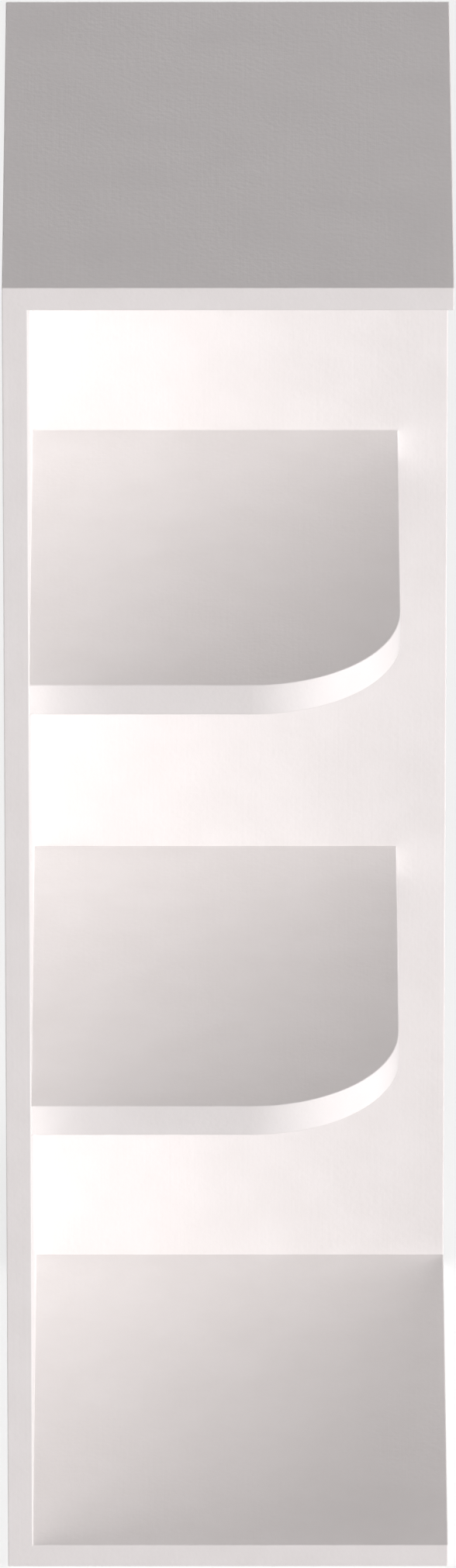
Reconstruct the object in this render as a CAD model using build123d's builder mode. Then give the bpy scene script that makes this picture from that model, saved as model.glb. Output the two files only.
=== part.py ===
from build123d import *
import os

# A miniature bookcase, open at the front and at its right-hand end. A tall side panel
# stands on the left and a wide back panel behind it, between a top and a bottom board.
# Two thicker shelves are let into both panels, stand back from the two open sides and
# have a large round corner where those sides meet.
#
# Millimetres. +X is to the right, +Y to the back and +Z up, and the origin is in the
# middle of the footprint, at floor level.

# --- Case -------------------------------------------------------------------------------
overall_height = 175.0
overall_width = 52.7
overall_depth = 70.5
board_thickness = 3.0  # top, bottom, side and back are cut from one sheet
arris_radius = 0.15  # open edges are eased by hand once the case is glued up

# --- Shelves ----------------------------------------------------------------------------
shelf_names = ("lower_shelf", "upper_shelf")
shelf_thickness = 4.0
shelf_setback = 5.9  # behind the case's front, and in from its open right-hand end
shelf_corner_radius = 17.6

# --- Housings: a shelf's tongue sits in a stopped groove in the side and the back --------
housing_depth = 1.0
housing_stop = 3.0  # the groove ends this far inside the shelf's open edges
housing_clearance = 0.1  # beyond the tongue, at the groove's floor and at its ends

# --- Dowels: blind, between one board's face and the next board's edge --------------------
dowel_diameter = 1.5
dowel_length = 8.0
dowel_chamfer = 0.2
dowel_inset = 12.0  # from each end of a joint to its nearest dowel
dowel_skin = 0.8  # wood left between a blind hole and the board's outer face
dowel_end_gap = 0.2  # room for glue past each end of a dowel
dowel_clearance = 0.03  # glue film around a dowel

# --- Places worked out from the sizes above -----------------------------------------------
left = -overall_width / 2
right = overall_width / 2
front = -overall_depth / 2
back = overall_depth / 2

side_face = left + board_thickness  # the side panel's inner face
back_face = back - board_thickness  # the back panel's inner face
floor_face = board_thickness  # the bottom board's upper face
ceiling_face = overall_height - board_thickness  # the top board's lower face

shelf_front = front + shelf_setback
shelf_right = right - shelf_setback

# The shelves divide the case into bays of equal height.
bay_count = len(shelf_names) + 1
clear_height = ceiling_face - floor_face - len(shelf_names) * shelf_thickness
bay_height = clear_height / bay_count
bay_floors = [floor_face + bay * (bay_height + shelf_thickness) for bay in range(bay_count)]
shelf_bottoms = [bay_floor - shelf_thickness for bay_floor in bay_floors[1:]]

hole_radius = dowel_diameter / 2 + dowel_clearance
face_hole_depth = board_thickness - dowel_skin
dowel_in_face = face_hole_depth - dowel_end_gap
edge_hole_depth = dowel_length - dowel_in_face + dowel_end_gap


def cap_dowels(name, joint_height, into_panels):
    """Dowels between a top or bottom board's face and the upright panels' edges.

    Each is a plane on the joint, whose normal points into the panel.
    """
    side_middle = left + board_thickness / 2
    back_middle = back - board_thickness / 2
    places = {
        "side_front": (side_middle, front + dowel_inset),
        "side_rear": (side_middle, back - dowel_inset),
        "back_left": (side_face + dowel_inset, back_middle),
        "back_right": (right - dowel_inset, back_middle),
    }
    return {
        f"{name}_{place}_dowel": Plane(origin=(x, y, joint_height), z_dir=(0, 0, into_panels))
        for place, (x, y) in places.items()
    }


def corner_dowels():
    """One dowel in each bay, from the side panel's face into the back panel's edge."""
    bay_names = ("lower", "middle", "upper")
    back_middle = back - board_thickness / 2
    return {
        f"corner_{name}_dowel": Plane(
            origin=(side_face, back_middle, bay_floor + bay_height / 2), z_dir=(1, 0, 0)
        )
        for name, bay_floor in zip(bay_names, bay_floors)
    }


top_dowels = cap_dowels("top", ceiling_face, -1)
bottom_dowels = cap_dowels("bottom", floor_face, 1)
corner_joint_dowels = corner_dowels()
all_dowels = {**top_dowels, **bottom_dowels, **corner_joint_dowels}


def dowels_in(panel):
    """The top and bottom dowels that stand in the side or the back panel's edges."""
    caps = {**top_dowels, **bottom_dowels}
    return [plane for name, plane in caps.items() if f"_{panel}_" in name]


def housing_plan(clearance):
    """Plan of a shelf's L-shaped tongue or, with a clearance, of the groove cut for it."""
    reach = housing_depth + clearance
    with BuildSketch() as plan:
        with BuildLine():
            Polyline(
                (side_face - reach, shelf_front + housing_stop - clearance),
                (side_face, shelf_front + housing_stop - clearance),
                (side_face, back_face),
                (shelf_right - housing_stop + clearance, back_face),
                (shelf_right - housing_stop + clearance, back_face + reach),
                (side_face - reach, back_face + reach),
                close=True,
            )
        make_face()
    return plan.sketch


def is_inner_corner(edge):
    """True for an edge inside the case where the inner faces of two boards meet."""
    place = edge.center()
    faces_met = (
        abs(place.X - side_face) < arris_radius,
        abs(place.Y - back_face) < arris_radius,
        abs(place.Z - floor_face) < arris_radius,
        abs(place.Z - ceiling_face) < arris_radius,
    )
    return sum(faces_met) > 1


def make_case():
    """The glued-up case in one piece, with every open edge eased; boards are split from it."""
    with BuildPart() as case:
        with BuildSketch():
            Rectangle(overall_width, overall_depth)
        extrude(amount=overall_height)
        with BuildSketch(Plane.XY.offset(floor_face)):
            with Locations((side_face, front)):
                Rectangle(overall_width, back_face - front, align=(Align.MIN, Align.MIN))
        extrude(amount=ceiling_face - floor_face, mode=Mode.SUBTRACT)
        inner_corners = case.edges().filter_by(is_inner_corner)
        fillet(case.edges() - inner_corners, arris_radius)
    return case.part


def make_shelf(name, shelf_bottom):
    """A shelf with its open edges eased, its corner rounded and its tongue left square."""
    tongue = housing_plan(0)
    with BuildPart() as shelf:
        with BuildSketch(Plane.XY.offset(shelf_bottom)) as plan:
            with Locations((side_face, shelf_front)):
                Rectangle(
                    shelf_right - side_face, back_face - shelf_front, align=(Align.MIN, Align.MIN)
                )
            open_corner = plan.vertices().group_by(Axis.X)[-1].sort_by(Axis.Y)[0]
            fillet(open_corner, shelf_corner_radius)
        extrude(amount=shelf_thickness)
        rims = shelf.faces().filter_by(Axis.Z).edges()
        open_edges = rims - rims.group_by(Axis.X)[0] - rims.group_by(Axis.Y)[-1]
        fillet(open_edges, arris_radius)
        with BuildSketch(Plane.XY.offset(shelf_bottom)):
            add(tongue)
        extrude(amount=shelf_thickness)
    shelf.part.label = name
    return shelf.part


def make_dowel(name, plane):
    """A dowel with chamfered ends, short in the face that it enters and long in the edge."""
    with BuildPart() as dowel:
        with BuildSketch(plane.offset(-dowel_in_face)):
            Circle(dowel_diameter / 2)
        extrude(amount=dowel_length)
        chamfer(dowel.edges().filter_by(GeomType.CIRCLE), dowel_chamfer)
    dowel.part.label = name
    return dowel.part


case = make_case()
groove = housing_plan(housing_clearance)

with BuildPart() as top_board:
    add(case)
    split(bisect_by=Plane.XY.offset(ceiling_face), keep=Keep.TOP)
    with Locations(*top_dowels.values()):
        Hole(hole_radius, depth=face_hole_depth)
top_board.part.label = "top_board"

with BuildPart() as bottom_board:
    add(case)
    split(bisect_by=Plane.XY.offset(floor_face), keep=Keep.BOTTOM)
    with Locations(*bottom_dowels.values()):
        Hole(hole_radius, depth=face_hole_depth)
bottom_board.part.label = "bottom_board"

with BuildPart() as side_panel:
    add(case)
    split(bisect_by=Plane.XY.offset(ceiling_face), keep=Keep.BOTTOM)
    split(bisect_by=Plane.XY.offset(floor_face), keep=Keep.TOP)
    split(bisect_by=Plane.YZ.offset(side_face), keep=Keep.BOTTOM)
    with BuildSketch(*[Plane.XY.offset(height) for height in shelf_bottoms]):
        add(groove)
    extrude(amount=shelf_thickness, mode=Mode.SUBTRACT)
    with Locations(*[-plane for plane in dowels_in("side")]):
        Hole(hole_radius, depth=edge_hole_depth)
    with Locations(*corner_joint_dowels.values()):
        Hole(hole_radius, depth=face_hole_depth)
side_panel.part.label = "side_panel"

with BuildPart() as back_panel:
    add(case)
    split(bisect_by=Plane.XY.offset(ceiling_face), keep=Keep.BOTTOM)
    split(bisect_by=Plane.XY.offset(floor_face), keep=Keep.TOP)
    split(bisect_by=Plane.YZ.offset(side_face), keep=Keep.TOP)
    with BuildSketch(*[Plane.XY.offset(height) for height in shelf_bottoms]):
        add(groove)
    extrude(amount=shelf_thickness, mode=Mode.SUBTRACT)
    with Locations(*[-plane for plane in dowels_in("back")]):
        Hole(hole_radius, depth=edge_hole_depth)
    with Locations(*[-plane for plane in corner_joint_dowels.values()]):
        Hole(hole_radius, depth=edge_hole_depth)
back_panel.part.label = "back_panel"

shelves = [make_shelf(name, bottom) for name, bottom in zip(shelf_names, shelf_bottoms)]
dowels = [make_dowel(name, plane) for name, plane in all_dowels.items()]

os.makedirs("parts", exist_ok=True)
boards = [top_board.part, bottom_board.part, side_panel.part, back_panel.part]
for piece in boards + shelves + dowels:
    export_step(piece, f"parts/{piece.label}.step")
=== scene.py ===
import math

import bpy
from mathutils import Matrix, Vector


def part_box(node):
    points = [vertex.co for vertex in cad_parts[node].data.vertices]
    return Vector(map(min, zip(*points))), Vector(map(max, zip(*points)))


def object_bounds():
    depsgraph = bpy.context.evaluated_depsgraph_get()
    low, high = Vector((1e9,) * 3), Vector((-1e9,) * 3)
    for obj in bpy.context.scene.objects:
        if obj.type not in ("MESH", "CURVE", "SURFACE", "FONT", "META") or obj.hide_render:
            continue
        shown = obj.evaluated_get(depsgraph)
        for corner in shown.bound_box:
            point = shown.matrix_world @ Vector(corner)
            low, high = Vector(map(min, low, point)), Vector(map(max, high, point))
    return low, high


# A miniature bookcase in satin white paint, on a plain pale floor. The boards and the dowels
# are the CAD model's own; this script gives them their finishes, and adds the floor, the
# lights and the camera. Metres, with the open front towards -Y and the open end towards +X.

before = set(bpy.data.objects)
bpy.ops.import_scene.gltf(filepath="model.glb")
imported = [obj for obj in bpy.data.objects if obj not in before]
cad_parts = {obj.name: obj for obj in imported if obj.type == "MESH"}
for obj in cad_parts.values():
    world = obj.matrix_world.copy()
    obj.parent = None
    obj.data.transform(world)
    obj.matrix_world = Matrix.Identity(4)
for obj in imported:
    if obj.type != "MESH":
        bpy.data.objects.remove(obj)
cad_low, cad_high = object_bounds()

# --- Places that everything else is set out from ------------------------------------------
CASE_FRONT = cad_low.y
CASE_HEIGHT = cad_high.z

# --- Camera: a long lens, 30 degrees down, facing the open front --------------------------
CAMERA_PITCH = math.radians(30.0)
CAMERA_DISTANCE = 2.998
CAMERA_AIM_HEIGHT = 0.6190 * CASE_HEIGHT
CAMERA_AIM = Vector((0.0, CASE_FRONT, CAMERA_AIM_HEIGHT))
CAMERA_SIDESTEP = -0.0019  # a little to the left of the case's middle
CAMERA_SENSOR_HEIGHT = 24.0  # millimetres, as the lens is; the picture's height fits it
CAMERA_LENS = 389.7
CAMERA_CLIP = (0.01, 100.0)

# --- Lights: soft and far away -------------------------------------------------------------
# Angles are in degrees, with azimuth counted from the front towards the right. A brightness
# of 1 makes a white card that faces the light come out white.
LIGHT_COLOUR = (1.0, 0.953, 0.957)
#    name, azimuth, elevation, angle across, brightness
LIGHTS = (
    ("key", 60, 8, 24, 0.94),
    ("side", 90, 12, 24, 0.10),
    ("front", 0, 10, 30, 0.17),
    ("top", 0, 85, 60, 0.13),
    ("left", -90, 8, 24, 0.46),
    ("back", 180, 8, 24, 0.26),
)

# --- Floor and background: each colour is what it reflects, each glow what it gives off ----
FLOOR_HALF_SIZE = 20.0
FLOOR_COLOUR = (0.60, 0.60, 0.60)
FLOOR_GLOW = (0.63, 0.64, 0.64)  # keeps the shadows on it pale
BOUNCE_DEPTH = 0.0001
BOUNCE_COLOUR = (0.0, 0.0, 0.0)
BOUNCE_BRIGHTNESS = 0.49  # of the light that a pale floor sends up to the object
BOUNCE_GLOW = [BOUNCE_BRIGHTNESS * channel for channel in LIGHT_COLOUR]
BACKGROUND = (0.879, 0.879, 0.879)  # the lit floor's tone, so that no horizon shows

# --- Textures: a noise runs from 0 to 1, and most of it lies in its middle range ------------
NOISE_MIDDLE = (0.3, 0.7)
PLAIN_DETAIL = 2.0  # layers of finer noise on top of the first
RICH_DETAIL = 4.0

# --- White paint --------------------------------------------------------------------------
PAINT_WHITE = (0.872, 0.862, 0.856)
PAINT_SHADE = (0.852, 0.841, 0.833)
PAINT_BLEND = (0.35, 0.65)  # where in the clouds the shade ends and the white begins
PAINT_ROUGHNESS = (0.42, 0.54)
PEEL_SIZE = 0.0007
PEEL_HEIGHT = 2.2e-5
STREAK_LENGTH = 0.015
STREAK_WIDTH = 0.0004
STREAK_HEIGHT = 9.0e-6
WAVE_SIZE = 0.012
WAVE_HEIGHT = 6.0e-5
CLOUD_SIZE = 0.006

# --- Beech --------------------------------------------------------------------------------
BEECH_PALE = (0.72, 0.52, 0.33)
BEECH_DARK = (0.58, 0.39, 0.23)
BEECH_FLECK = (0.40, 0.24, 0.13)
BEECH_BLEND = (0.30, 0.70)  # where in the streaks the dark ends and the pale begins
FLECK_AMOUNT = (-1.0, 1.0)  # below 0 there is no fleck, so about half of the wood has none
BEECH_ROUGHNESS = (0.55, 0.72)
BEECH_HEIGHT = 1.0e-5
BEECH_STREAK = (0.006, 0.0003)  # length along the dowel, width across it
BEECH_DASH = (0.0008, 0.00009)  # the same, of a fleck


def make_camera():
    """The view that the scene is set up for, from above the open front."""
    data = bpy.data.cameras.new("camera")
    data.sensor_fit = "VERTICAL"
    data.sensor_height = CAMERA_SENSOR_HEIGHT
    data.lens = CAMERA_LENS
    data.clip_start, data.clip_end = CAMERA_CLIP
    camera = bpy.data.objects.new("camera", data)
    bpy.context.scene.collection.objects.link(camera)
    away = Vector((0.0, -math.cos(CAMERA_PITCH), math.sin(CAMERA_PITCH)))
    camera.location = CAMERA_AIM + away * CAMERA_DISTANCE + Vector((CAMERA_SIDESTEP, 0.0, 0.0))
    camera.rotation_euler = (CAMERA_AIM - camera.location).to_track_quat("-Z", "Y").to_euler()
    bpy.context.scene.camera = camera


def make_ground(name, height, colour, glow):
    """A wide level square."""
    half = FLOOR_HALF_SIZE
    outline = ((-half, -half), (half, -half), (half, half), (-half, half))
    corners = [(x, y, height) for x, y in outline]
    mesh = bpy.data.meshes.new(name)
    mesh.from_pydata(corners, [], [(0, 1, 2, 3)])
    material = bpy.data.materials.new(name)
    material.use_nodes = True
    shader = material.node_tree.nodes["Principled BSDF"]
    shader.inputs["Base Color"].default_value = (*colour, 1.0)
    shader.inputs["Specular IOR Level"].default_value = 0.0
    shader.inputs["Emission Color"].default_value = (*glow, 1.0)
    shader.inputs["Emission Strength"].default_value = 1.0
    mesh.materials.append(material)
    ground = bpy.data.objects.new(name, mesh)
    bpy.context.scene.collection.objects.link(ground)
    return ground


def make_floor():
    """The floor that shows, and just below it the light that it sends up into the object."""
    floor = make_ground("floor", 0.0, FLOOR_COLOUR, FLOOR_GLOW)
    floor.visible_diffuse = False
    floor.visible_glossy = False
    bounce = make_ground("floor_bounce", -BOUNCE_DEPTH, BOUNCE_COLOUR, BOUNCE_GLOW)
    bounce.visible_camera = False


def make_background():
    """A pale backdrop that doesn't light the object."""
    world = bpy.data.worlds.new("background")
    world.use_nodes = True
    world.node_tree.nodes["Background"].inputs["Color"].default_value = (*BACKGROUND, 1.0)
    bpy.context.scene.world = world
    world.cycles_visibility.diffuse = False
    world.cycles_visibility.glossy = False


def make_lights():
    for name, azimuth, elevation, angle, brightness in LIGHTS:
        turn, rise = math.radians(azimuth), math.radians(elevation)
        towards = Vector(
            (math.sin(turn) * math.cos(rise), -math.cos(turn) * math.cos(rise), math.sin(rise))
        )
        data = bpy.data.lights.new(name, "SUN")
        data.angle = math.radians(angle)
        data.energy = math.pi * brightness
        data.color = LIGHT_COLOUR
        light = bpy.data.objects.new(name, data)
        light.rotation_euler = towards.to_track_quat("Z", "Y").to_euler()
        bpy.context.scene.collection.objects.link(light)


def wired(tree, kind, inputs, **settings):
    """A new node, with each input set to a value or linked to another node's socket."""
    node = tree.nodes.new(kind)
    for key, value in settings.items():
        setattr(node, key, value)
    for key, value in inputs.items():
        if isinstance(value, bpy.types.NodeSocket):
            tree.links.new(value, node.inputs[key])
        else:
            node.inputs[key].default_value = value
    return node


def noise(tree, place, scale, detail=PLAIN_DETAIL):
    made = wired(tree, "ShaderNodeTexNoise", {"Vector": place, "Scale": scale, "Detail": detail})
    return made.outputs["Fac"]


def along_grain(tree, place, axis, length, width):
    """Coordinates in which one unit is a streak's length along the grain and its width across."""
    scale = [1 / width] * 3
    scale["XYZ".index(axis)] = 1 / length
    return wired(tree, "ShaderNodeMapping", {"Vector": place, "Scale": scale}).outputs["Vector"]


def total_height(tree, layers):
    """The sum of several noises, each with its own height in metres."""
    total = 0.0
    for fac, height in layers:
        inputs = {0: fac, 1: height, 2: total}
        total = wired(tree, "ShaderNodeMath", inputs, operation="MULTIPLY_ADD").outputs[0]
    return total


def blend_colours(tree, fac, positions, colours):
    """One colour up to the first position, the other from the second, and a blend between."""
    ramp = wired(tree, "ShaderNodeValToRGB", {"Fac": fac})
    for stop, position, colour in zip(ramp.color_ramp.elements, positions, colours):
        stop.position = position
        stop.color = (*colour, 1.0)
    return ramp.outputs["Color"]


def spread(tree, fac, low, high):
    """A noise's middle range stretched to run from low to high."""
    start, end = NOISE_MIDDLE
    inputs = {"Value": fac, "From Min": start, "From Max": end, "To Min": low, "To Max": high}
    return wired(tree, "ShaderNodeMapRange", inputs).outputs["Result"]


def new_finish(name):
    """A new material, its node tree, its shader and the place on the object, in metres."""
    material = bpy.data.materials.new(name)
    material.use_nodes = True
    tree = material.node_tree
    place = wired(tree, "ShaderNodeTexCoord", {}).outputs["Object"]
    return material, tree, tree.nodes["Principled BSDF"], place


def finish_surface(tree, shader, colour, roughness, height):
    """Joins colour, roughness and relief to the shader. The relief's height is in metres."""
    bump = wired(tree, "ShaderNodeBump", {"Height": height, "Distance": 1.0, "Strength": 1.0})
    tree.links.new(colour, shader.inputs["Base Color"])
    tree.links.new(roughness, shader.inputs["Roughness"])
    tree.links.new(bump.outputs["Normal"], shader.inputs["Normal"])


def make_paint(axis):
    """Satin white sprayed over thin wood: orange peel, a trace of grain and a sanded waviness."""
    material, tree, shader, place = new_finish(f"white_paint_{axis.lower()}")
    peel = noise(tree, place, 1 / PEEL_SIZE)
    streaks = noise(tree, along_grain(tree, place, axis, STREAK_LENGTH, STREAK_WIDTH), 1.0)
    waves = noise(tree, place, 1 / WAVE_SIZE)
    cloud = noise(tree, place, 1 / CLOUD_SIZE, detail=RICH_DETAIL)
    layers = ((peel, PEEL_HEIGHT), (streaks, STREAK_HEIGHT), (waves, WAVE_HEIGHT))
    height = total_height(tree, layers)
    colour = blend_colours(tree, cloud, PAINT_BLEND, (PAINT_SHADE, PAINT_WHITE))
    roughness = spread(tree, cloud, *PAINT_ROUGHNESS)
    finish_surface(tree, shader, colour, roughness, height)
    return material


def make_beech(axis):
    """Bare turned beech: long pale streaks with short dark flecks along the dowel."""
    material, tree, shader, place = new_finish(f"beech_{axis.lower()}")
    streaks = noise(tree, along_grain(tree, place, axis, *BEECH_STREAK), 1.0, RICH_DETAIL)
    flecks = noise(tree, along_grain(tree, place, axis, *BEECH_DASH), 1.0)
    wood = blend_colours(tree, streaks, BEECH_BLEND, (BEECH_DARK, BEECH_PALE))
    # In a colour mix, sockets 6 and 7 hold the two colours and output 2 is the mixed one.
    inputs = {0: spread(tree, flecks, *FLECK_AMOUNT), 6: wood, 7: (*BEECH_FLECK, 1.0)}
    colour = wired(tree, "ShaderNodeMix", inputs, data_type="RGBA", clamp_factor=True).outputs[2]
    height = total_height(tree, ((streaks, BEECH_HEIGHT),))
    finish_surface(tree, shader, colour, spread(tree, streaks, *BEECH_ROUGHNESS), height)
    return material


def longest_axis(name):
    low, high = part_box(name)
    size = high - low
    return "XYZ"[list(size).index(max(size))]


def finish_pieces():
    """Each piece gets its finish, with the grain along its longest side."""
    made = {}
    for name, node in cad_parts.items():
        make = make_beech if name.endswith("_dowel") else make_paint
        axis = longest_axis(name)
        if (make, axis) not in made:
            made[make, axis] = make(axis)
        node.data.materials.clear()
        node.data.materials.append(made[make, axis])


make_camera()
make_floor()
make_background()
make_lights()
finish_pieces()
bpy.context.scene.view_settings.view_transform = "Standard"
